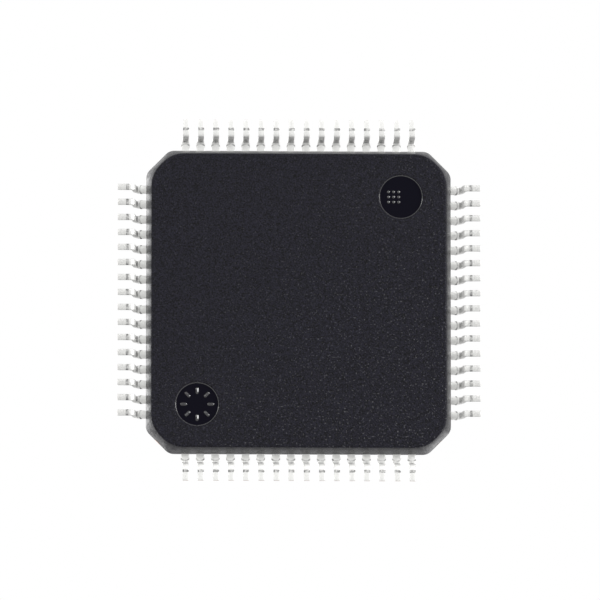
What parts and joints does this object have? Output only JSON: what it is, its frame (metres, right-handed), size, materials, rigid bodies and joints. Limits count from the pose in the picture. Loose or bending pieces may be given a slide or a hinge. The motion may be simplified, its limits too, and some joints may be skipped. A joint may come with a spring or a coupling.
{
  "type": "quad flat pack chip",
  "caption": "Square moulded chip package with gull-wing leads on all four sides, standing on its flat soles, with die, die pad and bond wires inside.",
  "frame": {"origin": "under the body's centre, on the seating plane that the soles of the leads stand on", "axes": "+Z away from the circuit board, out of the marked top face; +X and +Y along the body's sides, with lead 1 in the corner at -X +Y and the leads numbered counter-clockwise as seen from +Z"},
  "size_m": [0.012, 0.012, 0.0015],
  "materials": {
    "mould_compound": "black filled epoxy, fine sand-like texture, with smooth ejector marks",
    "tinned_lead": "matte tin plating on stamped copper alloy",
    "bare_copper": "stamped copper alloy, silver spot on top",
    "silver_epoxy": "cured silver-filled epoxy",
    "silicon": "polished silicon",
    "gold_wire": "drawn gold wire"
  },
  "bodies": {
    "root": {"mold_body": "mould_compound", "die_pad": "bare_copper", "die_attach": "silver_epoxy", "silicon_die": "silicon", "leads_01_02": "tinned_lead", "leads_03_04": "tinned_lead", "leads_05_06": "tinned_lead", "leads_07_08": "tinned_lead", "leads_09_10": "tinned_lead", "leads_11_12": "tinned_lead", "leads_13_14": "tinned_lead", "leads_15_16": "tinned_lead", "leads_17_18": "tinned_lead", "leads_19_20": "tinned_lead", "leads_21_22": "tinned_lead", "leads_23_24": "tinned_lead", "leads_25_26": "tinned_lead", "leads_27_28": "tinned_lead", "leads_29_30": "tinned_lead", "leads_31_32": "tinned_lead", "leads_33_34": "tinned_lead", "leads_35_36": "tinned_lead", "leads_37_38": "tinned_lead", "leads_39_40": "tinned_lead", "leads_41_42": "tinned_lead", "leads_43_44": "tinned_lead", "leads_45_46": "tinned_lead", "leads_47_48": "tinned_lead", "leads_49_50": "tinned_lead", "leads_51_52": "tinned_lead", "leads_53_54": "tinned_lead", "leads_55_56": "tinned_lead", "leads_57_58": "tinned_lead", "leads_59_60": "tinned_lead", "leads_61_62": "tinned_lead", "leads_63_64": "tinned_lead", "bond_wires_01_04": "gold_wire", "bond_wires_05_08": "gold_wire", "bond_wires_09_12": "gold_wire", "bond_wires_13_16": "gold_wire", "bond_wires_17_20": "gold_wire", "bond_wires_21_24": "gold_wire", "bond_wires_25_28": "gold_wire", "bond_wires_29_32": "gold_wire", "bond_wires_33_36": "gold_wire", "bond_wires_37_40": "gold_wire", "bond_wires_41_44": "gold_wire", "bond_wires_45_48": "gold_wire", "bond_wires_49_52": "gold_wire", "bond_wires_53_56": "gold_wire", "bond_wires_57_60": "gold_wire", "bond_wires_61_64": "gold_wire"}
  },
  "joints": []
}
